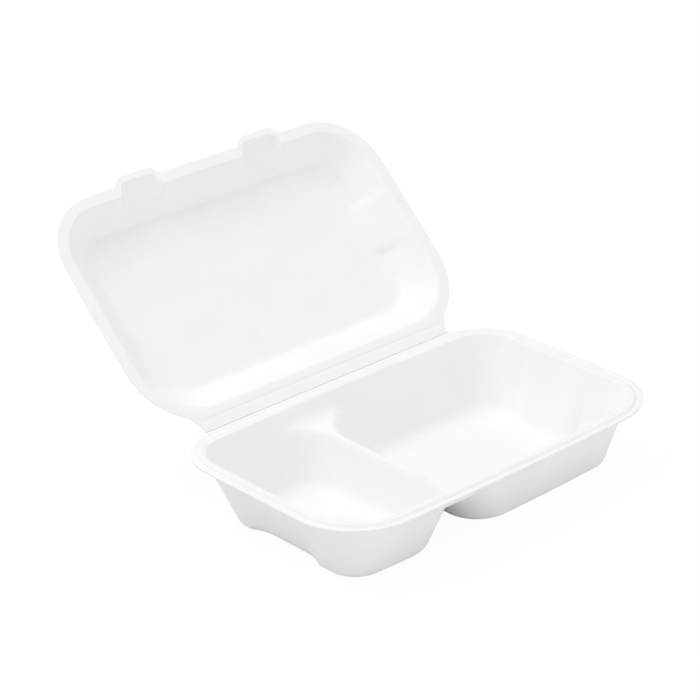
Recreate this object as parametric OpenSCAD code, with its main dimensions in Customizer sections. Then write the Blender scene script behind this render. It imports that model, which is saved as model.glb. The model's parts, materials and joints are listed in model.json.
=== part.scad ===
// Hinged meal box of molded fibre with two compartments, standing open.
// Frame: mm, Z up. The origin is on the table, under the middle of the tray's foot.
// The tray's long sides run along X, its front faces -Y and the fold is along X at +Y.
// Hole: none. Feature: the doubled wall of the divider, a ridge inside and a channel below.

/* [Tray] */
// Outer length of the tray's rim, along X
tray_length = 250;  // [200:1:300]
// Outer depth of the tray's rim, along Y
tray_depth = 158;  // [130:1:190]
// Height of the rim above the table
tray_height = 43.5;  // [30:0.5:60]
// Thickness of the tray's wall
tray_wall = 0.9;  // [0.7:0.05:1.6]
// Radius of the rim's two corners at the front
front_corner = 39;  // [28:1:48]
// Radius of the rim's two corners at the fold
fold_corner = 32;  // [26:1:44]
// How far the long sides bow outward at their middle
long_bow = 2.8;  // [0.5:0.1:4]
// How far the short sides bow outward at their middle
short_bow = 0.8;  // [0.3:0.1:3]
// Lean of the outer walls from vertical, degrees
wall_lean = 19;  // [8:0.5:22]
// How much of that lean the two end walls have, below the rim
end_ease = 0.9;  // [0.7:0.05:1]
// Smallest radius in plan of the corners at the front, at the foot
front_foot = 15;  // [12:1:20]
// Smallest radius in plan of the corners at the fold, at the foot
fold_foot = 16;  // [12:1:20]
// Radius inside, where the walls turn into the floor
floor_fillet = 6;  // [3:0.5:12]

/* [Rim] */
// Width of the low outer lip of the tray's rim
lip_width = 3.5;  // [3:0.25:7]
// Width of the raised inner band of the tray's rim
band_width = 5;  // [3:0.25:7]
// How far the lip lies below the band
lip_step = 0.7;  // [0.3:0.1:1.5]

/* [Divider] */
// Place of the divider's crest along X, at its middle
divider_at = -28.8;  // [-60:0.2:60]
// How much further left the crest is at the front than at the back
divider_skew = 4.8;  // [0:0.2:8]
// Depth of the crest below the rim
crest_depth = 11;  // [6:0.5:20]
// Half the width of the crest's rounded top
crest_half = 2.4;  // [1.8:0.1:5]
// Lean of the divider's face toward the small compartment, degrees
small_lean = 15;  // [8:0.5:20]
// Lean of the divider's face toward the large compartment, degrees
large_lean = 31;  // [12:0.5:34]
// Radius in plan of the small compartment's corners at the divider
small_corner = 20;  // [12:0.5:22]
// Radius in plan of the large compartment's corners at the divider
large_corner = 22;  // [12:0.5:26]
// How far the ramp at the fold end of the crest reaches forward from the wall
ramp_reach = 20;  // [14:0.5:24]
// Height of that ramp above the crest, at the wall
ramp_rise = 7;  // [4:0.5:8]

/* [End recesses] */
// Width of the recess in each end wall, at the foot
recess_width = 56;  // [40:1:60]
// Distance of the recesses from the middle, toward the fold
recess_at = 4;  // [-6:1:8]
// Depth of that recess at the foot
recess_depth = 5;  // [2:0.25:7]
// Radius in plan of the recess's two sides
recess_round = 16;  // [8:1:24]

/* [Lid] */
// Outer length of the lid's rim, along X
lid_length = 243.6;  // [190:0.5:300]
// Outer depth of the lid's rim
lid_depth = 152;  // [120:0.5:188]
// Height of the lid from its rim to its panel, outside
lid_height = 18;  // [12:0.5:30]
// Thickness of the lid's wall
lid_wall = 0.5;  // [0.45:0.05:1.2]
// Width of the lid's flat rim
lid_flange = 6.5;  // [4:0.25:9]
// Radius of the lid's two corners at the front
lid_front_corner = 36;  // [26:1:48]
// Radius of the lid's two corners at the fold
lid_fold_corner = 42;  // [26:1:48]
// Lean of the lid's front wall from vertical, degrees
lid_lean = 36;  // [15:1:42]
// How much more the lid's end walls and its wall at the fold run inward than the front one
lid_spread = 1.37;  // [1:0.01:1.5]
// Radius inside, where the lid's walls turn into its panel
lid_fillet = 6;  // [4:0.5:15]

/* [Tabs] */
// Distance of each closing tab from the middle
tab_at = 46.5;  // [30:0.5:70]
// Width of a tab at its root
tab_width = 35;  // [22:0.5:42]
// How far a tab stands out from the lid's rim
tab_out = 5.5;  // [3:0.25:9]
// Depth of the pocket inside a tab
tab_pocket = 3.2;  // [1.5:0.1:5]

/* [Fold] */
// Length of the fold, along X
fold_length = 190;  // [120:1:194]
// Width of the strip between the fold and the lid's rim
fold_strip = 4.4;  // [2:0.2:8]
// How far the lid is turned open from closed, degrees
open_angle = 136;  // [0:1:180]
// Gap left round the fold line
fold_gap = 0.25;  // [0.2:0.05:0.6]

/* [Parts] */
// Which piece to draw

/* [Hidden] */
$fn = 36;
arc_steps = 10;
side_steps = 4;
sliver = 0.01;
hair = 0.05;
white = [0.95, 0.95, 0.94];
// The fold line, which the joint in the record turns about
fold_y = tray_depth / 2 + fold_gap;
fold_z = tray_height + fold_gap;
// Insets from the rim's outer edge, of the wall's outer and inner face at the rim
wall_inset = lip_width + band_width;
tray_skin = tray_wall / cos(wall_lean);
lid_skin = lid_wall / cos(lid_lean);
end_lean = atan(lid_spread * tan(lid_lean));

// One corner of a rounded outline, as points
function corner(cx, cy, r, a0) =
    [for (i = [0 : arc_steps]) [cx + r * cos(a0 + 90 * i / arc_steps), cy + r * sin(a0 + 90 * i / arc_steps)]];

// Straight run from p to q without its ends, as points
function run(p, q) = [for (i = [1 : side_steps - 1]) p + (q - p) * i / side_steps];

// Rounded rectangle before its sides are bowed
function plain(l, d, rf, rb) = let(
    a = corner(l / 2 - rf, -d / 2 + rf, rf, -90),
    b = corner(l / 2 - rb, d / 2 - rb, rb, 0),
    c = corner(-l / 2 + rb, d / 2 - rb, rb, 90),
    e = corner(-l / 2 + rf, -d / 2 + rf, rf, 180),
    n = arc_steps)
    concat(a, run(a[n], b[0]), b, run(b[n], c[0]), c, run(c[n], e[0]), e, run(e[n], a[0]));

// The same with its sides bowed outward to the given length and depth
function outline(l, d, rf, rb, bl, bs) =
    [for (p = plain(l - 2 * bs, d - 2 * bl, rf, rb))
        let(u = p[0] / (l / 2 - bs), v = p[1] / (d / 2 - bl))
        [p[0] + bs * u * (1 - v * v), p[1] + bl * v * (1 - u * u)]];

// Outline of the tray, drawn in by an inset. Below the rim the end walls lean in less.
function tray_line(inset) = let(
    at_end = min(inset, wall_inset) + end_ease * max(inset - wall_inset, 0))
    outline(tray_length - 2 * at_end, tray_depth - 2 * inset,
        max(front_corner - inset, front_foot), max(fold_corner - 1.3 * inset, fold_foot), long_bow, short_bow);

// Outline of the lid, drawn in by an inset. Past the rim only the front wall keeps to the inset.
function lid_line(inset) = let(
    more = min(inset, lid_flange) + lid_spread * max(inset - lid_flange, 0),
    base = outline(lid_length - 2 * more, lid_depth - inset - more,
        max(lid_front_corner - 1.1 * inset, 12), max(lid_fold_corner - 1.1 * inset, 14), 0.4, 1.8))
    [for (p = base) p + [0, (inset - more) / 2]];

// Profile of a wall that leans in and turns into a floor: [height, inset] from the top down.
// skin is 0 for the inner face and the wall's thickness for the outer one.
function wall_profile(top, floor_z, at_top, lean, fillet, skin) = let(
    zc = floor_z + fillet,
    ic = at_top + (top - zc) * tan(lean) + fillet / cos(lean),
    r = fillet + skin)
    concat([[top, at_top - skin / cos(lean)]],
        [for (i = [0 : 4]) let(a = lean + (90 - lean) * i / 4) [zc - r * sin(a), ic - r * cos(a)]]);

// A thin slice of a 2D shape at a height
module slice(z) {
    translate([0, 0, z])
        linear_extrude(height = sliver)
            children();
}

// The skew line that bounds a compartment on its divider side
module beside(side, half) {
    lean_x = divider_skew / tray_depth;
    far = tray_length;
    x0 = divider_at + side * half;
    polygon([[x0 - lean_x * far, -far], [x0 + side * far, -far],
        [x0 + side * far, far], [x0 + lean_x * far, far]]);
}

// Section of one compartment, rounded where the divider meets the walls
module cup_section(side, inset, half) {
    radius = side < 0 ? small_corner : large_corner;
    intersection() {
        polygon(tray_line(inset));
        // the same outline drawn out past its end, so that only the divider's corners are rounded
        offset(r = radius)
            offset(delta = -radius)
                intersection() {
                    hull()
                        for (far = [0, tray_length / 3])
                            translate([side * far, 0])
                                polygon(tray_line(inset));
                    beside(side, half);
                }
    }
}

// Half width of the divider at a height, from its rounded crest downward
function half_at(z, lean, skin) = let(d = -crest_depth - z)
    d < 2.5
        ? crest_half - 1.5 * pow(1 - max(d, 0) / 2.5, 2) - skin
        : crest_half + (d - 2.5) * tan(lean) - skin;

// Half width of the divider in the floor's fillet, by the height of the fillet's arc
function half_low(a, floor_z, fillet, lean, skin) = let(
    zc = floor_z + fillet,
    hc = half_at(zc, lean, 0) + fillet / cos(lean))
    hc - (fillet + skin) * cos(max(a, lean));

// One compartment below the crest, solid
module cup(side, skin) {
    floor_z = -tray_height + tray_wall;
    lean = side < 0 ? small_lean : large_lean;
    top = -crest_depth;
    // a hair inside the upper space, or outside it for the outer face, so that no two faces coincide
    at_top = wall_inset + tray_skin + crest_depth * tan(wall_lean) + (skin > 0 ? -hair : hair);
    pad = skin / cos(wall_lean);
    zc = floor_z + floor_fillet;
    ic = at_top + (top - zc) * tan(wall_lean) + floor_fillet / cos(wall_lean);
    r = floor_fillet + skin;
    side_pad = skin / cos(lean);
    high = concat([[top + 1, at_top - pad + 2 * hair, half_at(top, lean, side_pad)]],
        [for (d = [0, 1, 2.5]) [top - d, at_top + d * tan(wall_lean) - pad, half_at(top - d, lean, side_pad)]]);
    low = [for (i = [0 : 4]) let(a = wall_lean + (90 - wall_lean) * i / 4)
        [zc - r * sin(a), ic - r * cos(a), half_low(a, floor_z, floor_fillet, lean, skin)]];
    steps = concat(high, low);
    for (i = [0 : len(steps) - 2])
        hull() {
            slice(steps[i][0])
                cup_section(side, steps[i][1], steps[i][2]);
            slice(steps[i + 1][0])
                cup_section(side, steps[i + 1][1], steps[i + 1][2]);
        }
}

// The shared space above the crest, solid
module above_crest(skin) {
    pad = skin / cos(wall_lean);
    at_rim = wall_inset + tray_skin;
    steps = skin > 0
        ? [[-sliver, at_rim - pad], [-crest_depth - skin, at_rim + (crest_depth + skin) * tan(wall_lean) - pad]]
        : [[1, at_rim - 1.6], [0, at_rim - 1.2], [-0.5, at_rim - 0.5], [-1.8, at_rim + 1.8 * tan(wall_lean)],
            [-crest_depth, at_rim + crest_depth * tan(wall_lean)]];
    for (i = [0 : len(steps) - 2])
        hull() {
            slice(steps[i][0])
                polygon(tray_line(steps[i][1]));
            slice(steps[i + 1][0])
                polygon(tray_line(steps[i + 1][1]));
        }
}

// Rounded slab that pushes the middle of an end wall inward, deeper toward the foot.
// It grows by the wall's thickness for the inner face, so that the wall stays whole.
module recess(side, foot, rise, lean, deep, width, grow) {
    half_flat = width / 2 - 12;
    translate([0, recess_at, 0])
        hull()
            for (s = [-1, 1]) {
                // the face at the foot
                translate([side * (foot - deep - tan(lean) + recess_round), s * half_flat, -rise - 1])
                    cylinder(h = sliver, r = recess_round + grow);
                // the upper end, where it fades into the wall
                translate([side * (foot + (rise - 3) * tan(lean) + recess_round), s * half_flat * 0.85, -3])
                    cylinder(h = sliver, r = recess_round + grow);
            }
}

// Ramp from the crest up to the wall at the fold, narrow in front and wider at the wall,
// between the round corners of the two compartments. It grows by the wall's thickness for the inner face.
module ramp(grow) {
    wall_y = tray_depth / 2 - wall_inset - crest_depth * tan(wall_lean);
    middle = divider_at + divider_skew * 0.35;
    base_z = -crest_depth - tray_wall - hair;
    // share of the rise, reach, half width in front and at the wall
    steps = [[0, ramp_reach, 1.2, 8], [0.35, ramp_reach * 0.86, 1.1, 7], [0.75, ramp_reach * 0.7, 1, 6],
        [1, ramp_reach * 0.52, 0.9, 5]];
    for (i = [0 : len(steps) - 2])
        hull()
            for (s = [steps[i], steps[i + 1]])
                translate([middle, wall_y, base_z + s[0] * ramp_rise + (s[0] > 0 ? grow : -1 - grow)])
                    linear_extrude(height = sliver)
                        offset(delta = grow)
                            polygon([[-s[2], -s[1]], [s[2], -s[1]], [s[3], 6], [-s[3], 6]]);
}

// Everything of the tray that is filled from below
module tray_space(skin) {
    difference() {
        union() {
            above_crest(skin);
            cup(-1, skin);
            cup(1, skin);
        }
        for (side = [-1, 1])
            recess(side, tray_length / 2 - wall_inset - end_ease * tray_height * tan(wall_lean), tray_height,
                wall_lean, recess_depth, recess_width, tray_wall - skin);
        ramp(tray_wall - skin);
    }
}

// Tray with its rim, walls, floors and the doubled wall of the divider
module base_tray() {
    color(white)
        translate([0, 0, tray_height])
            difference() {
                union() {
                    translate([0, 0, -lip_step - tray_wall])
                        linear_extrude(height = tray_wall)
                            polygon(tray_line(0));
                    translate([0, 0, -lip_step - tray_wall])
                        linear_extrude(height = tray_wall + lip_step)
                            polygon(tray_line(lip_width));
                    // straight edge for the fold, raised to the band's height
                    translate([-fold_length / 2, tray_depth / 2 - 6, -lip_step - tray_wall])
                        cube([fold_length, 6, tray_wall]);
                    translate([-fold_length / 2, tray_depth / 2 - 1.6, -lip_step - tray_wall])
                        cube([fold_length, 1.6, tray_wall + lip_step]);
                    tray_space(tray_wall);
                }
                tray_space(0);
            }
}

// Space inside the lid, or its filled outside, seen with the rim at z = 0 and the panel above
module lid_space(skin) {
    floor_z = -lid_height + lid_wall;
    at_top = lid_flange + lid_skin;
    steps = wall_profile(0, floor_z, at_top, lid_lean, lid_fillet, skin);
    mouth = skin > 0 ? [] : [[0.5, at_top - 1.4]];
    all = concat(mouth, steps);
    mirror([0, 0, 1])
        for (i = [0 : len(all) - 2])
            hull() {
                slice(all[i][0])
                    polygon(lid_line(all[i][1]));
                slice(all[i + 1][0])
                    polygon(lid_line(all[i + 1][1]));
            }
}

// Pocket of one closing tab, from the lid's front wall out through the rim
module tab_space(x, skin) {
    deep = tab_pocket + skin;
    tip = -lid_depth / 2 - tab_out;
    hull() {
        // the mouth, along the lid's rim
        translate([x - tab_width / 2 + 5 - skin, -lid_depth / 2 + 3, -sliver])
            cube([tab_width - 10 + 2 * skin, sliver, deep]);
        // the tip, narrower and shallower
        for (s = [-1, 1])
            translate([x + s * (tab_width / 2 - 8.5), tip + 4.4, -sliver])
                cylinder(h = deep * 0.6, r = 3 + skin);
        // the root, in the front wall
        translate([x - tab_width / 2 + 4 - skin, -lid_depth / 2 + 14, -sliver])
            cube([tab_width - 8 + 2 * skin, sliver, deep + 3]);
    }
}

// Flat rim of the lid with its two tabs and the strip up to the fold
module lid_rim() {
    linear_extrude(height = lid_wall) {
        polygon(lid_line(0));
        for (x = [-tab_at, tab_at])
            hull() {
                translate([x - tab_width / 2, -lid_depth / 2 + 1])
                    square([tab_width, 4]);
                for (s = [-1, 1])
                    translate([x + s * (tab_width / 2 - 8), -lid_depth / 2 - tab_out + 4])
                        circle(r = 4);
            }
        translate([-fold_length / 2, lid_depth / 2 - 12])
            square([fold_length, 12 + fold_strip]);
    }
}

// Lid, modelled closed over the tray and then turned open about the fold
module lid() {
    color(white)
        translate([0, fold_y, fold_z])
            rotate([-open_angle, 0, 0])
                translate([0, -fold_strip - lid_depth / 2, 0])
                    difference() {
                        union() {
                            lid_rim();
                            difference() {
                                lid_space(lid_wall);
                                lid_recesses(0);
                            }
                            for (x = [-tab_at, tab_at])
                                tab_space(x, lid_wall);
                        }
                        difference() {
                            lid_space(0);
                            lid_recesses(lid_skin);
                        }
                        for (x = [-tab_at, tab_at])
                            tab_space(x, 0);
                    }
}

// The two recesses in the lid's end walls
module lid_recesses(grow) {
    mirror([0, 0, 1])
        for (side = [-1, 1])
            recess(side, lid_length / 2 - lid_flange - lid_spread * lid_height * tan(lid_lean), lid_height,
                end_lean, recess_depth * 0.8, recess_width * 0.8, grow);
}

base_tray();
lid();
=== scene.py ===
"""Molded fiber clamshell meal box, standing open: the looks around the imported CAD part."""

import json
import math

import bmesh
import bpy
import numpy as np
from bpy.props import FloatProperty, FloatVectorProperty, PointerProperty
from mathutils import Matrix, Vector


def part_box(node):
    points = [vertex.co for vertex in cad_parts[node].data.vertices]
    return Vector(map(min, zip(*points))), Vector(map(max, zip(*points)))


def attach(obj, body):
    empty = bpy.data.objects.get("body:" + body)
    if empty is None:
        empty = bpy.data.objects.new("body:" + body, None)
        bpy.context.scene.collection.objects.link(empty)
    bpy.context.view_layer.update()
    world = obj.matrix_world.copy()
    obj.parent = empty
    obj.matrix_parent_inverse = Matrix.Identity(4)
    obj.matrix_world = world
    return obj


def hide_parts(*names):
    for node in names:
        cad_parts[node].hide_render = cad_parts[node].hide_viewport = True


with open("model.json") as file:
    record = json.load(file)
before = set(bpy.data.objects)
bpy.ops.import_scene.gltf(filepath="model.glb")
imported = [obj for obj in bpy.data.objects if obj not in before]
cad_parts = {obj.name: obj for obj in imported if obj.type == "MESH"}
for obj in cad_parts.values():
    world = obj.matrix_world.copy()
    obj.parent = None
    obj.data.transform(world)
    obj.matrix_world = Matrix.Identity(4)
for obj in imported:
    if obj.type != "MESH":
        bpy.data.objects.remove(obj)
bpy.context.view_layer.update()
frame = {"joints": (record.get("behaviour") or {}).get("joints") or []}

bl_info = {
    "name": "Molded Fiber Meal Box",
    "version": (1, 0, 0),
    "blender": (4, 5, 0),
    "location": "View3D > Sidebar > Meal Box",
    "description": "Builds an open meal box of pressed plant fiber with two compartments and a hinged lid",
    "category": "Add Mesh",
}

MM = 0.001
TRAY_LOW, TRAY_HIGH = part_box("base_tray")
LID_LOW, LID_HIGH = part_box("lid")
FOLD = frame["joints"][0]["pos_m"]

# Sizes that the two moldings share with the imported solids: lengths in mm, the lean in radians, the
# opening in degrees; the spread says how much more the lid's other walls run in than its front wall
TRAY_LENGTH = (TRAY_HIGH.x - TRAY_LOW.x) / MM
TRAY_DEPTH = (TRAY_HIGH.y - TRAY_LOW.y) / MM
RIM_HEIGHT = TRAY_HIGH.z / MM
LID_LENGTH = (LID_HIGH.x - LID_LOW.x) / MM
LID_DEPTH = 152.0
FOLD_STRIP = 4.4
FOLD_HALF = 95.0
LIP_WIDTH = 3.5
RIM_WIDTH = 8.5
LID_FLANGE = 6.5
WALL_LEAN = math.radians(19.0)
OPEN_ANGLE = 136.0
LID_SPREAD = 1.37

# All lengths from here to the studio are in mm.
# Tray outline: corner radii at the front and at the fold, the least that drawing in leaves of them,
# how fast the one at the fold shrinks, the bows of the sides, and the end walls' share of the inset
TRAY_FRONT_CORNER = 39.0
TRAY_FRONT_LEAST = 15.0
TRAY_BACK_CORNER = 32.0
TRAY_BACK_LEAST = 16.0
TRAY_BACK_RATE = 1.3
TRAY_LONG_BOW = 2.8
TRAY_SHORT_BOW = 0.8
TRAY_END_SHARE = 0.9

# Lid outline, in the same order; both of its corners shrink at one rate
LID_FRONT_CORNER = 36.0
LID_FRONT_LEAST = 12.0
LID_BACK_CORNER = 42.0
LID_BACK_LEAST = 14.0
LID_CORNER_RATE = 1.1
LID_LONG_BOW = 0.4
LID_SHORT_BOW = 1.8

# Steps of the outlines round one corner and along one short side
CORNER_STEPS = 12
SIDE_STEPS = 44

# Tray rim: level of the lip, rise of the band, rise of the lip at the fold, depth and half width of the
# groove, how far the outer edge turns down, and how far the wall's upper edge lies under the top
LIP_LEVEL = -0.75
BAND_RISE = 0.45
FOLD_RISE = 0.4
GROOVE_DEPTH = 0.5
GROOVE_HALF = 0.55
EDGE_DROP = 0.25
WALL_DROP = 0.3

# Compartments: leans of the divider's faces, half the width of its crest, how far and over what depth
# the crest's edges are rounded, corner radii, and the fillet at the floor
SMALL_LEAN = math.radians(15.0)
LARGE_LEAN = math.radians(31.0)
CREST_HALF = 2.4
CREST_ROUND = 1.5
CREST_FALL = 2.5
CREST_BLEND = 2.4
SMALL_CORNER = 20.0
LARGE_CORNER = 22.0
FLOOR_FILLET = 6.0

# The wall profiles begin this far above a compartment's upper edge
PROFILE_TOP = 6.0

# Heel of the divider at the fold wall: radius, distance from the wall at which it begins, its longest
# run, the depth over which it fades, and its flat and foot toward the small and the large compartment
HEEL_RADIUS = 13.0
HEEL_START = 9.3
HEEL_RUN = 12.3
HEEL_FADE = 3.0
HEEL_SMALL_SIDE = (14.0, 32.0)
HEEL_LARGE_SIDE = (12.0, 24.0)

# End recesses as middle, half of the flat face, flank radius and flank depth. They begin RECESS_START
# under the tray's top, and only points further out than END_ZONE belong to an end wall
TRAY_RIGHT_RECESS = (4.0, 15.0, 12.0, 6.0)
TRAY_LEFT_RECESS = (4.0, 12.0, 24.0, 8.0)
LID_RIGHT_RECESS = (-3.0, 11.0, 8.0, 4.0)
LID_LEFT_RECESS = (-3.0, 6.0, 24.0, 8.0)
LID_LEFT_SHARE = 0.6
LID_RECESS_DEPTH = 4.6
RECESS_START = 3.0
END_ZONE = 60

# Lid: lean of its walls, fillet at the panel, and how far its sheet is moved away from the panel,
# except at the tabs
LID_LEAN = math.radians(36.0)
LID_FILLET = 4.0
LID_SHIFT = 0.3

# Closing tabs: places, reach, and half their width at the tip and at the foot
TAB_PLACES = (-46.5, 46.5)
TAB_REACH = 5.5
TAB_TIP_HALF = 10.8
TAB_FOOT_HALF = 17.5

# Rim bead: inset and depth of its line under the top, width and height; then the bent fiber at the fold
BEAD_INSET = 6.0
BEAD_UNDER = 0.32
BEAD_WIDTH = 3.0
BEAD_HEIGHT = 0.56
BEND_WIDTH = 1.6
BEND_HEIGHT = 0.8

# Studio, in metres and watts: light from all round, the floor's share of plain white, and the lamps as
# name, place, aim, size and power
WORLD_FILL = 0.69
FLOOR_GLOW = 0.96
FLOOR_HALF = 6.0
LAMPS = (
    ("key", (-1.1, 0.7, 1.9), (0.0, 0.0, 0.05), (1.2, 1.2), 11.0),
    ("top", (0.2, 0.6, 2.2), (0.0, 0.05, 0.0), (2.0, 2.0), 8.5),
    ("front", (0.5, -1.9, 0.5), (0.0, 0.0, 0.03), (1.4, 0.8), 4.2),
)

# Camera fitted to the photo: azimuth, elevation and roll in degrees, distance, shift to the right and
# up, and width of what it shows at that distance, all in metres; the sensor is in mm
CAMERA_ANGLES = (-41.18, 24.94, -2.0)
CAMERA_AWAY = 1.541
CAMERA_RIGHT = 0.01153
CAMERA_UP = 0.01762
SHOWN_WIDTH = 0.7 / 1.70
SENSOR_WIDTH = 36.0


def rounded_ramp(value, low, high):
    """0 below low, 1 above high, smooth between."""
    t = np.clip((value - low) / (high - low), 0.0, 1.0)
    return t * t * (3.0 - 2.0 * t)


def soft_max(a, b, blend):
    """The larger of two heights, with the crease between them rounded."""
    h = np.maximum(blend - np.abs(a - b), 0.0) / blend
    return np.maximum(a, b) + h * h * blend * 0.25


def soft_min(a, b, blend):
    """The smaller of two heights, with the crease between them rounded."""
    return -soft_max(-a, -b, blend)


def round_corner(a, b, radius):
    """Distance inward from the nearer of two walls that meet in a rounded corner."""
    inner = np.maximum(radius, np.minimum(a, b))
    return inner - np.hypot(np.maximum(radius - a, 0.0), np.maximum(radius - b, 0.0))


def wall_table(lean, deep, radius, crest_round=0.0):
    """Profile of a leaning wall as (depths, insets), from above its top edge down to the floor's fillet."""
    slope = math.tan(lean)
    start = CREST_FALL if crest_round else 0.0
    turn_z = deep - radius
    turn_in = (turn_z - start) * slope + radius / math.cos(lean)
    if crest_round:
        depths = [-PROFILE_TOP] + [CREST_FALL * k / 10 for k in range(11)]
        insets = [-crest_round - PROFILE_TOP * 0.6] + [-crest_round * (1 - 0.1 * k) ** 2 for k in range(11)]
    else:
        depths = [-PROFILE_TOP]
        insets = [-PROFILE_TOP * slope]
    for k in range(15):
        a = lean + (math.pi / 2 - lean) * k / 14
        depths.append(turn_z + radius * math.sin(a))
        insets.append(turn_in - radius * math.cos(a))
    return np.array(depths), np.array(insets)


def depth_between(from_wall, from_divider, wall, divider, extra, above, deep, radius):
    """How far down a point lies in a compartment that narrows with depth; found by halving the range."""
    low = np.full(len(from_wall), -PROFILE_TOP)
    high = np.full(len(from_wall), deep)
    for _ in range(26):
        mid = (low + high) / 2
        a = from_wall - np.interp(mid, *wall) - extra * (mid + above)
        b = from_divider - np.interp(mid, *divider)
        inside = round_corner(a, b, radius) > 0
        low = np.where(inside, mid, low)
        high = np.where(inside, high, mid)
    return (low + high) / 2


def shoulder(run, lean, radius):
    """Height of a flat edge that rounds over into a leaning wall; run is the distance inward."""
    tangent = radius * math.tan((math.pi / 2 - lean) / 2)
    end = tangent * math.sin(lean)
    arc = -radius + np.sqrt(np.maximum(radius**2 - (np.minimum(run, end) + tangent) ** 2, 0.0))
    return np.where(run < -tangent, 0.0, np.where(run < end, arc, -run / math.tan(lean)))


def floor_turn(height, floor, lean, radius):
    """Rounds a leaning wall into a flat floor; height is the wall's, as if it ran on below the floor."""
    tangent = radius * math.tan((math.pi / 2 - lean) / 2)
    start = -tangent * math.sin(lean)
    run = -(height - floor) * math.tan(lean)
    across = np.clip(run, start, tangent) - tangent
    arc = floor + radius - np.sqrt(np.maximum(radius**2 - across**2, 0.0))
    return np.where(run <= start, height, np.where(run >= tangent, floor, arc))


def outline(length, depth, front, back, long_bow, short_bow, columns):
    """Closed outline of a bowed rounded rectangle. The columns are places along the long sides."""
    half_l, half_d = length / 2 - short_bow, depth / 2 - long_bow
    points = []

    def arc(cx, cy, radius, start):
        for k in range(CORNER_STEPS + 1):
            a = math.radians(start + 90.0 * k / CORNER_STEPS)
            points.append((cx + radius * math.cos(a), cy + radius * math.sin(a)))

    def side(x, y0, y1):
        for k in range(1, SIDE_STEPS):
            points.append((x, y0 + (y1 - y0) * k / SIDE_STEPS))

    def long_side(y, order):
        # the outer columns of both long sides stretch up to the larger corner, the others stay
        reach = half_l - max(front, back)
        fixed, outer = columns[-1] * 0.72, columns[-1] * 0.28
        for x in order:
            if abs(x) > fixed:
                t = (abs(x) - fixed) / outer
                x = math.copysign(fixed + t * (reach - fixed), x)
            points.append((x, y))

    long_side(-half_d, columns)
    arc(half_l - front, -half_d + front, front, -90)
    side(half_l, -half_d + front, half_d - back)
    arc(half_l - back, half_d - back, back, 0)
    long_side(half_d, columns[::-1])
    arc(-half_l + back, half_d - back, back, 90)
    side(-half_l, half_d - back, -half_d + front)
    arc(-half_l + front, -half_d + front, front, 180)
    p = np.array(points)
    u, v = p[:, 0] / half_l, p[:, 1] / half_d
    bowed_x = p[:, 0] + short_bow * u * (1 - v * v)
    bowed_y = p[:, 1] + long_bow * v * (1 - u * u)
    return np.column_stack((bowed_x, bowed_y))


def column_places(edge, step, fine, fine_step):
    """Places along a long side from -edge to edge, closer together in the fine ranges."""
    places = [-edge]
    while places[-1] < edge:
        x = places[-1]
        near = any(low <= x <= high for low, high in fine)
        places.append(x + (fine_step if near else step))
    places = np.array(places)
    return list(-edge + (places + edge) * (2 * edge) / (places[-1] + edge))


def sheet_normals(rings, plain):
    """Upward normals of the sheet through the rings at their plain heights."""
    grid = np.array([np.column_stack((r, h)) for r, h in zip(rings, plain)])
    along = np.roll(grid, -1, axis=1) - np.roll(grid, 1, axis=1)
    normals = np.cross(along, np.gradient(grid, axis=0))
    size = np.linalg.norm(normals, axis=2, keepdims=True)
    normals = np.where(size > 1e-9, normals / np.maximum(size, 1e-9), np.array([0.0, 0.0, 1.0]))
    normals *= np.where(normals[:, :, 2:] < 0, -1.0, 1.0)
    # on the middle line both halves share their normals
    last, level = rings[-1][:, 0], plain[-1]
    places, first = np.unique(np.round(last, 5), return_index=True)
    slope = np.interp(last, places, np.gradient(level[first], places))
    shared = np.column_stack((-slope, np.zeros_like(slope), np.ones_like(slope)))
    normals[-1] = shared / np.linalg.norm(shared, axis=1, keepdims=True)
    return grid, normals


def molded_sheet(name, rings, heights, plain, wall, to_world):
    """A closed molding: one sheet through the rings' heights, the other a wall away from the plain form."""
    grid, normals = sheet_normals(rings, plain)
    near = np.concatenate([np.column_stack((r, h)) for r, h in zip(rings, heights)])
    far = (grid - wall * normals).reshape(-1, 3)
    count, total = len(rings[0]), len(near)
    turned = wall < 0
    faces = []
    for k in range(len(rings) - 1):
        for i in range(count):
            a, b = k * count + i, k * count + (i + 1) % count
            quad = (a, b, b + count, a + count)
            other = tuple(total + v for v in quad[::-1])
            faces.append(quad[::-1] if turned else quad)
            faces.append(other[::-1] if turned else other)
    for i in range(count):
        j = (i + 1) % count
        edge = (i, total + i, total + j, j)
        faces.append(edge[::-1] if turned else edge)
    mesh = bpy.data.meshes.new(name)
    mesh.from_pydata([to_world(v) for v in np.concatenate((near, far))], [], faces)
    piece = bpy.data.objects.new(name, mesh)
    bpy.context.scene.collection.objects.link(piece)
    close_up(mesh)
    return piece


def close_up(mesh):
    """Joins the line where the innermost ring lies on itself, and shades the mesh smooth."""
    bm = bmesh.new()
    bm.from_mesh(mesh)
    bmesh.ops.remove_doubles(bm, verts=bm.verts, dist=0.01 * MM)
    bmesh.ops.dissolve_degenerate(bm, edges=bm.edges, dist=1e-7)
    bmesh.ops.recalc_face_normals(bm, faces=bm.faces)
    for face in bm.faces:
        face.smooth = True
    bm.to_mesh(mesh)
    bm.free()


# Swept beads, by Geometry Nodes


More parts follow.
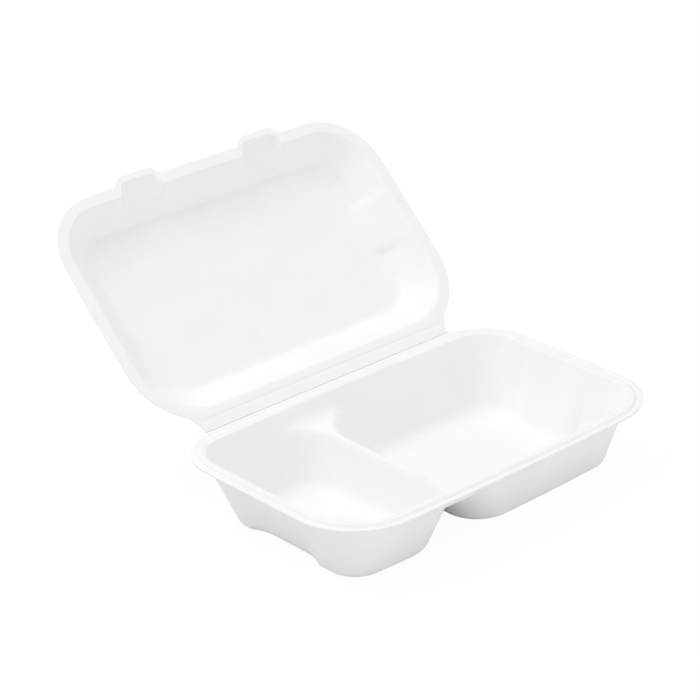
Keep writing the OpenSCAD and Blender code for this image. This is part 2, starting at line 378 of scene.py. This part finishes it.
def bead_tree():
    """Sweeps a flat oval along the edges it is given: named inputs for its width, height and material."""
    tree = bpy.data.node_groups.new("swept bead", "GeometryNodeTree")
    face = tree.interface
    face.new_socket("Path", in_out="INPUT", socket_type="NodeSocketGeometry")
    for label, value in (("Width", 2.0 * MM), ("Height", 0.6 * MM)):
        socket = face.new_socket(label, in_out="INPUT", socket_type="NodeSocketFloat")
        socket.default_value = value
        socket.subtype = "DISTANCE"
    face.new_socket("Material", in_out="INPUT", socket_type="NodeSocketMaterial")
    face.new_socket("Bead", in_out="OUTPUT", socket_type="NodeSocketGeometry")
    given = add_node(tree, "NodeGroupInput")
    path = add_node(tree, "GeometryNodeMeshToCurve", None, {"Mesh": (given, "Path")})
    level = add_node(tree, "GeometryNodeSetCurveNormal", {"mode": "Z_UP"}, {"Curve": (path, "Curve")})
    oval = add_node(tree, "GeometryNodeCurvePrimitiveCircle", {"Resolution": 10, "Radius": 0.5})
    scale = add_node(
        tree,
        "ShaderNodeCombineXYZ",
        {"Z": 1.0},
        {"X": (given, "Width"), "Y": (given, "Height")},
    )
    flat = add_node(
        tree,
        "GeometryNodeTransform",
        None,
        {"Geometry": (oval, "Curve"), "Scale": (scale, "Vector")},
    )
    swept = add_node(
        tree,
        "GeometryNodeCurveToMesh",
        {"Fill Caps": True},
        {"Curve": (level, "Curve"), "Profile Curve": (flat, 0)},
    )
    real = add_node(tree, "GeometryNodeRealizeInstances", None, {"Geometry": (swept, "Mesh")})
    coat = add_node(
        tree,
        "GeometryNodeSetMaterial",
        None,
        {"Geometry": (real, "Geometry"), "Material": (given, "Material")},
    )
    add_node(tree, "NodeGroupOutput", None, {"Bead": (coat, "Geometry")})
    return tree


def sweep_bead(name, points, closed, width, height, material):
    """Runs the bead's tree along a line of points in mm, and keeps the result as a plain mesh."""
    line = bpy.data.meshes.new(name + "_line")
    edges = [(k, k + 1) for k in range(len(points) - 1)]
    if closed:
        edges.append((len(points) - 1, 0))
    line.from_pydata([Vector(p) * MM for p in points], edges, [])
    source = bpy.data.objects.new(name + "_line", line)
    bpy.context.scene.collection.objects.link(source)
    tree = bpy.data.node_groups.get("swept bead") or bead_tree()
    sweep = source.modifiers.new("bead", "NODES")
    sweep.node_group = tree
    ids = {item.name: item.identifier for item in tree.interface.items_tree if item.in_out == "INPUT"}
    sweep[ids["Width"]] = width * MM
    sweep[ids["Height"]] = height * MM
    sweep[ids["Material"]] = material
    graph = bpy.context.evaluated_depsgraph_get()
    mesh = bpy.data.meshes.new_from_object(source.evaluated_get(graph), depsgraph=graph)
    bpy.data.objects.remove(source)
    if not len(mesh.polygons):
        raise RuntimeError(name + ": the bead's tree made no mesh")
    mesh.name = name
    piece = bpy.data.objects.new(name, mesh)
    bpy.context.scene.collection.objects.link(piece)
    close_up(mesh)
    return piece


def inward(rings, middle, steps):
    """More rings, from the last one to the middle line of the floor."""
    last = rings[-1]
    out = []
    for k in range(1, steps + 1):
        t = k / steps
        out.append(last + (middle - last) * t)
    return out


# Materials


def linear(hex_colour):
    """sRGB hex to the linear colour that a shader takes."""
    out = []
    for k in (0, 2, 4):
        c = int(hex_colour.lstrip("#")[k : k + 2], 16) / 255.0
        out.append(c / 12.92 if c <= 0.04045 else ((c + 0.055) / 1.055) ** 2.4)
    return (*out, 1.0)


def add_node(tree, kind, settings=None, links=None):
    """Adds one node with its settings, and links {input: (node, output)} into it."""
    made = tree.nodes.new(kind)
    for key, value in (settings or {}).items():
        if isinstance(key, str) and hasattr(made, key):
            setattr(made, key, value)
        else:
            made.inputs[key].default_value = value
    for key, (source, output) in (links or {}).items():
        tree.links.new(source.outputs[output], made.inputs[key])
    return made


def pressed_fiber(name, paper_white, paper_shade):
    """Pressed sugar cane fiber: a chalky white with soft clouds of 22 mm and a grain of short fibers."""
    material = bpy.data.materials.new(name)
    material.use_nodes = True
    tree = material.node_tree
    tree.nodes.clear()
    place = add_node(tree, "ShaderNodeTexCoord")
    clouds = add_node(
        tree,
        "ShaderNodeTexNoise",
        {"Scale": 1 / (22 * MM), "Detail": 3.0, "Roughness": 0.5},
        {"Vector": (place, "Object")},
    )
    # the grain is 0.9 mm wide, coarser than real fibers, so that it shows at the picture's size
    stretch = add_node(tree, "ShaderNodeMapping", {"Scale": (1.0, 0.35, 0.6)}, {"Vector": (place, "Object")})
    fibers = add_node(
        tree,
        "ShaderNodeTexNoise",
        {"Scale": 1 / (0.9 * MM), "Detail": 6.0, "Roughness": 0.7, "Distortion": 1.6},
        {"Vector": (stretch, "Vector")},
    )
    tone = add_node(
        tree,
        "ShaderNodeMapRange",
        {"From Min": 0.35, "From Max": 0.65, "To Min": 0.0, "To Max": 1.0},
        {"Value": (clouds, "Fac")},
    )
    paper = add_node(
        tree,
        "ShaderNodeMix",
        {"data_type": "RGBA", 6: paper_white, 7: paper_shade},
        {0: (tone, "Result")},
    )
    grain = add_node(
        tree,
        "ShaderNodeBump",
        {"Strength": 0.25, "Distance": 0.06 * MM},
        {"Height": (fibers, "Fac")},
    )
    swell = add_node(
        tree,
        "ShaderNodeBump",
        {"Strength": 0.06, "Distance": 0.15 * MM},
        {"Height": (clouds, "Fac"), "Normal": (grain, "Normal")},
    )
    shader = add_node(
        tree,
        "ShaderNodeBsdfPrincipled",
        {"Roughness": 0.78, "IOR": 1.47, "Specular IOR Level": 0.3},
        {"Base Color": (paper, 2), "Normal": (swell, "Normal")},
    )
    add_node(tree, "ShaderNodeOutputMaterial", None, {"Surface": (shader, "BSDF")})
    return material


def show_white(name, colour):
    """Studio floor paper: it takes the shadow, and shows white to the camera."""
    material = bpy.data.materials.new(name)
    material.use_nodes = True
    tree = material.node_tree
    tree.nodes.clear()
    paper = add_node(tree, "ShaderNodeBsdfDiffuse", {"Color": colour})
    glow = add_node(tree, "ShaderNodeEmission", {"Color": (1, 1, 1, 1), "Strength": 1.0})
    ray = add_node(tree, "ShaderNodeLightPath")
    share = add_node(
        tree,
        "ShaderNodeMath",
        {"operation": "MULTIPLY", 1: FLOOR_GLOW},
        {0: (ray, "Is Camera Ray")},
    )
    mixed = add_node(tree, "ShaderNodeMixShader", None, {0: (share, 0), 1: (paper, 0), 2: (glow, 0)})
    add_node(tree, "ShaderNodeOutputMaterial", None, {"Surface": (mixed, 0)})
    return material


# Properties


class MealBoxSizes(bpy.types.PropertyGroup):
    """Sizes of the two moldings as plain numbers in mm, since Blender's unit of length is the metre.

    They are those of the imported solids, except the crest, which lies deeper here."""

    tray_wall: FloatProperty(
        name="Tray wall",
        description="Thickness of the tray in mm",
        default=0.9,
        min=0.5,
    )
    lid_wall: FloatProperty(
        name="Lid wall",
        description="Thickness of the lid in mm",
        default=0.5,
        min=0.4,
    )
    crest_drop: FloatProperty(
        name="Crest drop",
        description="Depth of the divider's crest under the tray's top in mm",
        default=12.6,
    )
    divider_at: FloatProperty(
        name="Divider place",
        description="Place of the divider left of the middle, in mm along X",
        default=-28.8,
    )
    divider_skew: FloatProperty(
        name="Divider skew",
        description="Skew of the divider from front to fold in mm",
        default=4.8,
    )
    recess_depth: FloatProperty(
        name="Recess depth",
        description="Depth of the tray's end recesses in mm",
        default=5.0,
    )
    lid_height: FloatProperty(
        name="Lid height",
        description="Height of the lid in mm",
        default=18.0,
    )


class MealBoxLooks(bpy.types.PropertyGroup):
    """Colours of the fiber and the studio."""

    fiber_white: FloatVectorProperty(
        name="Fiber",
        description="Main colour of the fiber",
        subtype="COLOR",
        size=4,
        default=linear("#FAFAF9"),
    )
    fiber_shade: FloatVectorProperty(
        name="Fiber clouds",
        description="Colour of its soft clouds",
        subtype="COLOR",
        size=4,
        default=linear("#F8F8F6"),
    )
    floor_white: FloatVectorProperty(
        name="Floor",
        description="Colour of the studio floor",
        subtype="COLOR",
        size=4,
        default=linear("#F4F4F4"),
    )


# Tray


def tray_ring(inset, columns):
    """The tray's outline, drawn in; below the rim the end walls lean in a little less."""
    at_end = min(inset, RIM_WIDTH) + TRAY_END_SHARE * max(inset - RIM_WIDTH, 0.0)
    return outline(
        TRAY_LENGTH - 2 * at_end,
        TRAY_DEPTH - 2 * inset,
        max(TRAY_FRONT_CORNER - inset, TRAY_FRONT_LEAST),
        max(TRAY_BACK_CORNER - TRAY_BACK_RATE * inset, TRAY_BACK_LEAST),
        TRAY_LONG_BOW,
        TRAY_SHORT_BOW,
        columns,
    )


def fold_edge(ring, inset, back_y, reach=8.0):
    """Pulls the back of a ring out to the straight edge of the fold, over the fold's length."""
    share = (1 - rounded_ramp(np.abs(ring[:, 0]), FOLD_HALF - 1.0, FOLD_HALF + 5.0)) * (ring[:, 1] > 0)
    near = 1 - rounded_ramp(np.full(len(ring), inset), 0.0, reach)
    out = ring.copy()
    out[:, 1] += share * near * np.maximum(back_y - inset - ring[:, 1], 0.0)
    return out


def recess_share(y, middle, flat, radius, depth):
    """1 over a recess's flat face, falling off in round flanks to 0 beside it."""
    past = np.clip(np.abs(y - middle) - flat, 0.0, radius)
    return np.clip(1 - (radius - np.sqrt(radius**2 - past**2)) / depth, 0.0, 1.0)


def heel_height(x, y, down, sizes):
    """The round heel that takes the divider's end up into the fold wall, and fades with depth."""
    ahead = TRAY_DEPTH / 2 - RIM_WIDTH - sizes.crest_drop * math.tan(WALL_LEAN) - y
    rise = HEEL_RADIUS - np.sqrt(HEEL_RADIUS**2 - np.clip(HEEL_START - ahead, 0.0, HEEL_RUN) ** 2)
    aside = x - sizes.divider_at - sizes.divider_skew * 0.35
    on_small = rounded_ramp(-aside, *HEEL_SMALL_SIDE)
    on_large = rounded_ramp(aside, *HEEL_LARGE_SIDE)
    beside = np.where(aside < 0, on_small, on_large)
    return rise * (1 - beside) * np.exp(-np.maximum(down, 0.0) / HEEL_FADE)


def rim_level(x, y, inset, grooved):
    """Level of the rim against the tray's top: low lip, groove, and a band that carries the bead."""
    band = rounded_ramp(inset, LIP_WIDTH - 0.15, LIP_WIDTH + 0.5)
    near_fold = rounded_ramp(y, TRAY_DEPTH / 2 - 6.0, TRAY_DEPTH / 2 - 3.0)
    at_fold = near_fold * (np.abs(x) < FOLD_HALF + 3.0)
    rim = LIP_LEVEL + BAND_RISE * band + FOLD_RISE * at_fold * (1 - band)
    groove = -GROOVE_DEPTH * np.exp(-(((inset - LIP_WIDTH) / GROOVE_HALF) ** 2)) * grooved
    edge = -EDGE_DROP * rounded_ramp(-inset, -1.0, 0.0) * (1 - at_fold)
    return rim + groove + edge


def tray_height(points, inset, sizes, grooved=True):
    """Height of the tray's upper face over the table at points of the given insets."""
    x, y = points[:, 0], points[:, 1]
    slope = math.tan(WALL_LEAN)
    run = inset - RIM_WIDTH - sizes.tray_wall / math.cos(WALL_LEAN)
    # end recesses: the middle of each end wall leans in more
    right_end = recess_share(y, *TRAY_RIGHT_RECESS)
    left_end = recess_share(y, *TRAY_LEFT_RECESS)
    ends = np.where(x > 0, right_end, left_end) * (np.abs(x) > END_ZONE)
    extra = sizes.recess_depth / TRAY_END_SHARE / (RIM_HEIGHT - RECESS_START) * ends
    wall = shoulder(run, WALL_LEAN, 1.6)
    recessed = -RECESS_START + (wall + RECESS_START) * slope / (slope + extra)
    wall = np.where(wall < -RECESS_START, recessed, wall)
    # the two compartments, from the crest down; beside the divider's end at the fold they are rounder
    crest = sizes.crest_drop
    deep = RIM_HEIGHT - sizes.tray_wall - crest
    along = sizes.divider_at + sizes.divider_skew * y / TRAY_DEPTH
    beside = np.abs(x - along) - CREST_HALF
    outer = wall_table(WALL_LEAN, deep, FLOOR_FILLET)
    small = wall_table(SMALL_LEAN, deep, FLOOR_FILLET, CREST_ROUND)
    large = wall_table(LARGE_LEAN, deep, FLOOR_FILLET, CREST_ROUND)
    at_crest = run - crest * slope
    above = crest - RECESS_START
    wider = 7.0 * rounded_ramp(y, 0.0, 30.0) * (1 - rounded_ramp(beside, 35.0, 55.0))
    small_corner = SMALL_CORNER + 0.7 * wider
    large_corner = LARGE_CORNER + wider
    down_small = depth_between(at_crest, beside, outer, small, extra, above, deep, small_corner)
    down_large = depth_between(at_crest, beside, outer, large, extra, above, deep, large_corner)
    down = np.where(x < along, down_small, down_large)
    cups = -crest + soft_min(np.zeros_like(down), -down, CREST_BLEND)
    cups = cups + heel_height(x, y, down, sizes)
    height = np.maximum(soft_max(wall, cups, 1.2), -RIM_HEIGHT + sizes.tray_wall)
    # the rim's own level ends just outside the wall's upper edge
    inside = np.minimum(height, 0.0) - WALL_DROP * (1 - rounded_ramp(run, 0.5, 4.0))
    return RIM_HEIGHT + np.where(run < -1.2, rim_level(x, y, inset, grooved), inside)


class MEALBOX_OT_tray(bpy.types.Operator):
    """Builds the tray: rim, two compartments, divider and end recesses, in one even skin"""

    bl_idname = "mealbox.tray"
    bl_label = "Tray"

    def execute(self, context):
        sizes = context.scene.meal_box_sizes
        columns = column_places(84.0, 2.4, [(-58.0, 22.0)], 1.0)
        insets = [0.0, 0.25, 0.7, 1.3, 2.0, 2.6, 2.9, 3.1, 3.3, 3.5, 3.7, 3.9, 4.2, 4.8, 5.8, 6.8, 7.5, 8.0]
        insets += list(np.arange(8.2, 11.2, 0.3)) + list(np.arange(11.4, 15.0, 0.6))
        insets += list(np.arange(15.0, 36.0, 0.75)) + list(np.arange(36.0, 42.0, 1.2))
        rings = [fold_edge(tray_ring(i, columns), i, TRAY_DEPTH / 2) for i in insets]
        last = rings[-1]
        middle = last.copy()
        middle[:, 1] = 0.0
        middle[:, 0] = np.clip(last[:, 0], -66.0, 66.0)
        steps = 14
        deeps = [insets[-1] + (TRAY_DEPTH / 2 - insets[-1]) * (k + 1) / steps for k in range(steps)]
        rings += inward(rings, middle, steps)
        levels = [(r, np.full(len(r), i)) for r, i in zip(rings, insets + deeps)]
        heights = [tray_height(r, i, sizes) for r, i in levels]
        plain = [tray_height(r, i, sizes, grooved=False) for r, i in levels]
        piece = molded_sheet("molded_tray", rings, heights, plain, sizes.tray_wall, lambda v: Vector(v) * MM)
        fiber = bpy.data.materials["pressed cane fiber, tray"]
        piece.data.materials.append(fiber)
        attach(piece, "tray")
        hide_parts("base_tray")

        # the bead that stiffens the rim, swept round on its band
        loop = fold_edge(tray_ring(BEAD_INSET, columns), BEAD_INSET, TRAY_DEPTH / 2)
        apart = np.linalg.norm(loop - np.roll(loop, 1, axis=0), axis=1) > 0.05
        path = [(x, y, RIM_HEIGHT - BEAD_UNDER) for x, y in loop[apart]]
        bead = sweep_bead("rim_bead", path, True, BEAD_WIDTH, BEAD_HEIGHT, fiber)
        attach(bead, "tray")
        # the bent fiber at the fold, between the rim and the lid's strip
        places = np.linspace(-FOLD_HALF, FOLD_HALF, 40)
        bend = [(x, TRAY_DEPTH / 2 - 0.1, RIM_HEIGHT + 0.05) for x in places]
        web = sweep_bead("fold_bend", bend, False, BEND_WIDTH, BEND_HEIGHT, fiber)
        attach(web, "tray")
        return {"FINISHED"}


# Lid


def lid_ring(inset, columns):
    """The lid's outline, drawn in; past the flange only the front wall keeps to the inset."""
    more = min(inset, LID_FLANGE) + LID_SPREAD * max(inset - LID_FLANGE, 0.0)
    ring = outline(
        LID_LENGTH - 2 * more,
        LID_DEPTH - inset - more,
        max(LID_FRONT_CORNER - LID_CORNER_RATE * inset, LID_FRONT_LEAST),
        max(LID_BACK_CORNER - LID_CORNER_RATE * inset, LID_BACK_LEAST),
        LID_LONG_BOW,
        LID_SHORT_BOW,
        columns,
    )
    return ring + np.array([0.0, (inset - more) / 2])


def tab_share(x, flat, foot):
    """1 across a tab, 0 beside it."""
    return sum(1 - rounded_ramp(np.abs(x - t), flat, foot) for t in TAB_PLACES)


def tab_edge(ring, inset):
    """Pushes the front of the outer rings out into the two tabs."""
    front = ring[:, 1] < 0
    near = 1 - rounded_ramp(np.full(len(ring), inset), 5.0, 15.0)
    past = max(inset - LID_FLANGE, 0.0)
    out = ring.copy()
    share = tab_share(ring[:, 0], TAB_TIP_HALF - 0.6 * past, TAB_FOOT_HALF - 0.8 * past)
    out[:, 1] -= front * near * TAB_REACH * share
    return out


def lid_height(points, inset, sizes, scored=True):
    """Height of the lid's inner face from its rim, toward its panel."""
    x, y = points[:, 0], points[:, 1]
    # inside the tabs the wall begins further out, as a scoop
    early = 3.0 * tab_share(x, 9.5, 16.0) * (y < 0) * (1 - rounded_ramp(inset, 7.0, 15.0))
    run = inset + early - LID_FLANGE - sizes.lid_wall / math.cos(LID_LEAN)
    right_end = recess_share(y, *LID_RIGHT_RECESS)
    left_end = LID_LEFT_SHARE * recess_share(y, *LID_LEFT_RECESS)
    ends = np.where(x > 0, right_end, left_end) * (np.abs(x) > END_ZONE)
    extra = LID_RECESS_DEPTH / sizes.lid_height * ends
    wall = -shoulder(run, LID_LEAN, 1.8)
    slope = math.tan(LID_LEAN)
    wall = np.where(wall > 0.8, 0.8 + (wall - 0.8) * slope / (slope + extra), wall)
    top = sizes.lid_height - sizes.lid_wall
    height = -floor_turn(-wall, -top, LID_LEAN, LID_FILLET)
    # the score beside the fold's strip
    from_axis = LID_DEPTH / 2 + FOLD_STRIP - y
    score = 0.45 * np.exp(-(((from_axis - 6.0) / 0.6) ** 2)) * (np.abs(x) < FOLD_HALF) * scored
    return height + score - LID_SHIFT * (1 - tab_share(x, 17.0, 22.0) * (y < 0))


class MEALBOX_OT_lid(bpy.types.Operator):
    """Builds the lid: flat rim with two tabs, shallow walls, panel and the fold's strip, in one even skin"""

    bl_idname = "mealbox.lid"
    bl_label = "Lid"

    def execute(self, context):
        sizes = context.scene.meal_box_sizes
        columns = column_places(78.0, 2.4, [(-66.0, -28.0), (28.0, 66.0)], 1.0)
        insets = [0.0, 0.25, 0.7, 1.4, 2.3, 2.7, 3.0, 3.2, 3.4, 3.6, 3.8, 4.0, 4.3, 4.6, 5.0]
        insets += list(np.arange(5.3, 9.0, 0.35)) + list(np.arange(9.2, 17.0, 0.7))
        insets += list(np.arange(17.0, 24.0, 0.4)) + list(np.arange(24.0, 32.0, 1.0))
        rings = []
        for i in insets:
            ring = tab_edge(lid_ring(i, columns), i)
            rings.append(fold_edge(ring, i, LID_DEPTH / 2 + FOLD_STRIP, 7.0))
        last = rings[-1]
        middle = last.copy()
        middle[:, 1] = (insets[-1] - LID_FLANGE) * (1 - LID_SPREAD) / 2
        middle[:, 0] = np.clip(last[:, 0], -62.0, 62.0)
        steps = 10
        deeps = [insets[-1] + (LID_DEPTH / 2 - insets[-1]) * (k + 1) / steps for k in range(steps)]
        rings += inward(rings, middle, steps)
        levels = [(r, np.full(len(r), i)) for r, i in zip(rings, insets + deeps)]
        heights = [lid_height(r, i, sizes) for r, i in levels]
        plain = [lid_height(r, i, sizes, scored=False) for r, i in levels]
        turn = (
            Matrix.Translation(Vector(FOLD))
            @ Matrix.Rotation(-math.radians(OPEN_ANGLE), 4, "X")
            @ Matrix.Translation(Vector((0.0, -(FOLD_STRIP + LID_DEPTH / 2) * MM, 0.0)))
        )

        def opened(point):
            return turn @ (Vector(point) * MM)

        piece = molded_sheet("molded_lid", rings, heights, plain, -sizes.lid_wall, opened)
        piece.data.materials.append(bpy.data.materials["pressed cane fiber, lid"])
        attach(piece, "lid")
        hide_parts("lid")
        return {"FINISHED"}


# Stage


class MEALBOX_OT_stage(bpy.types.Operator):
    """Sets up the floor, the soft light and the camera at the photo's angle"""

    bl_idname = "mealbox.stage"
    bl_label = "Stage"

    def execute(self, context):
        scene = context.scene
        looks = scene.meal_box_looks
        mesh = bpy.data.meshes.new("studio_floor")
        far = FLOOR_HALF
        corners = [(-far, -far, 0), (far, -far, 0), (far, far, 0), (-far, far, 0)]
        mesh.from_pydata(corners, [], [(0, 1, 2, 3)])
        floor = bpy.data.objects.new("studio_floor", mesh)
        scene.collection.objects.link(floor)
        floor.data.materials.append(show_white("studio floor paper", looks.floor_white))

        world = bpy.data.worlds.new("studio")
        scene.world = world
        world.use_nodes = True
        tree = world.node_tree
        tree.nodes.clear()
        fill = add_node(tree, "ShaderNodeBackground", {"Color": (1, 1, 1, 1), "Strength": WORLD_FILL})
        seen = add_node(tree, "ShaderNodeBackground", {"Color": (1, 1, 1, 1), "Strength": 1.0})
        ray = add_node(tree, "ShaderNodeLightPath")
        mixed = add_node(
            tree,
            "ShaderNodeMixShader",
            None,
            {0: (ray, "Is Camera Ray"), 1: (fill, 0), 2: (seen, 0)},
        )
        add_node(tree, "ShaderNodeOutputWorld", None, {"Surface": (mixed, 0)})

        for name, place, aim, size, power in LAMPS:
            lamp = bpy.data.lights.new(name, "AREA")
            lamp.shape = "RECTANGLE"
            lamp.size, lamp.size_y = size
            lamp.energy = power
            holder = bpy.data.objects.new(name, lamp)
            scene.collection.objects.link(holder)
            holder.location = place
            holder.rotation_mode = "QUATERNION"
            holder.rotation_quaternion = (Vector(aim) - Vector(place)).to_track_quat("-Z", "Y")

        camera_data = bpy.data.cameras.new("camera")
        camera = bpy.data.objects.new("camera", camera_data)
        scene.collection.objects.link(camera)
        azimuth, elevation, roll = (math.radians(a) for a in CAMERA_ANGLES)
        back = Vector(
            (
                math.sin(azimuth) * math.cos(elevation),
                -math.cos(azimuth) * math.cos(elevation),
                math.sin(elevation),
            )
        )
        level = Vector((math.cos(azimuth), math.sin(azimuth), 0.0))
        upright = back.cross(level)
        right = level * math.cos(roll) + upright * math.sin(roll)
        up = -level * math.sin(roll) + upright * math.cos(roll)
        # the fitted camera looks past the middle of the tray's back edge
        aim = Vector((0.0, TRAY_DEPTH / 2 * MM, RIM_HEIGHT * MM))
        place = aim + right * CAMERA_RIGHT + up * CAMERA_UP + back * CAMERA_AWAY
        facing = Matrix((right, up, back)).transposed().to_4x4()
        camera.matrix_world = Matrix.Translation(place) @ facing
        camera_data.sensor_width = SENSOR_WIDTH
        camera_data.lens = SENSOR_WIDTH * CAMERA_AWAY / SHOWN_WIDTH
        camera_data.clip_start = 0.05
        scene.camera = camera
        scene.view_settings.view_transform = "Standard"
        return {"FINISHED"}


class MEALBOX_OT_finishes(bpy.types.Operator):
    """Makes the fiber's material for both moldings"""

    bl_idname = "mealbox.finishes"
    bl_label = "Finishes"

    def execute(self, context):
        looks = context.scene.meal_box_looks
        pressed_fiber("pressed cane fiber, tray", looks.fiber_white, looks.fiber_shade)
        pressed_fiber("pressed cane fiber, lid", looks.fiber_white, looks.fiber_shade)
        return {"FINISHED"}


class MEALBOX_PT_panel(bpy.types.Panel):
    """Shows the sizes and colours, and a button for each step"""

    bl_label = "Meal Box"
    bl_idname = "MEALBOX_PT_panel"
    bl_space_type = "VIEW_3D"
    bl_region_type = "UI"
    bl_category = "Meal Box"

    def draw(self, context):
        layout = self.layout
        for group in (context.scene.meal_box_sizes, context.scene.meal_box_looks):
            for name in group.__annotations__:
                layout.prop(group, name)
        for operator in OPERATORS:
            layout.operator(operator.bl_idname)


OPERATORS = (MEALBOX_OT_finishes, MEALBOX_OT_tray, MEALBOX_OT_lid, MEALBOX_OT_stage)
CLASSES = (MealBoxSizes, MealBoxLooks, *OPERATORS, MEALBOX_PT_panel)


def register():
    for cls in CLASSES:
        bpy.utils.register_class(cls)
    bpy.types.Scene.meal_box_sizes = PointerProperty(type=MealBoxSizes)
    bpy.types.Scene.meal_box_looks = PointerProperty(type=MealBoxLooks)


def unregister():
    del bpy.types.Scene.meal_box_looks
    del bpy.types.Scene.meal_box_sizes
    for cls in reversed(CLASSES):
        bpy.utils.unregister_class(cls)


def main():
    register()
    bpy.ops.mealbox.finishes()
    bpy.ops.mealbox.tray()
    bpy.ops.mealbox.lid()
    bpy.ops.mealbox.stage()


if __name__ == "__main__":
    main()
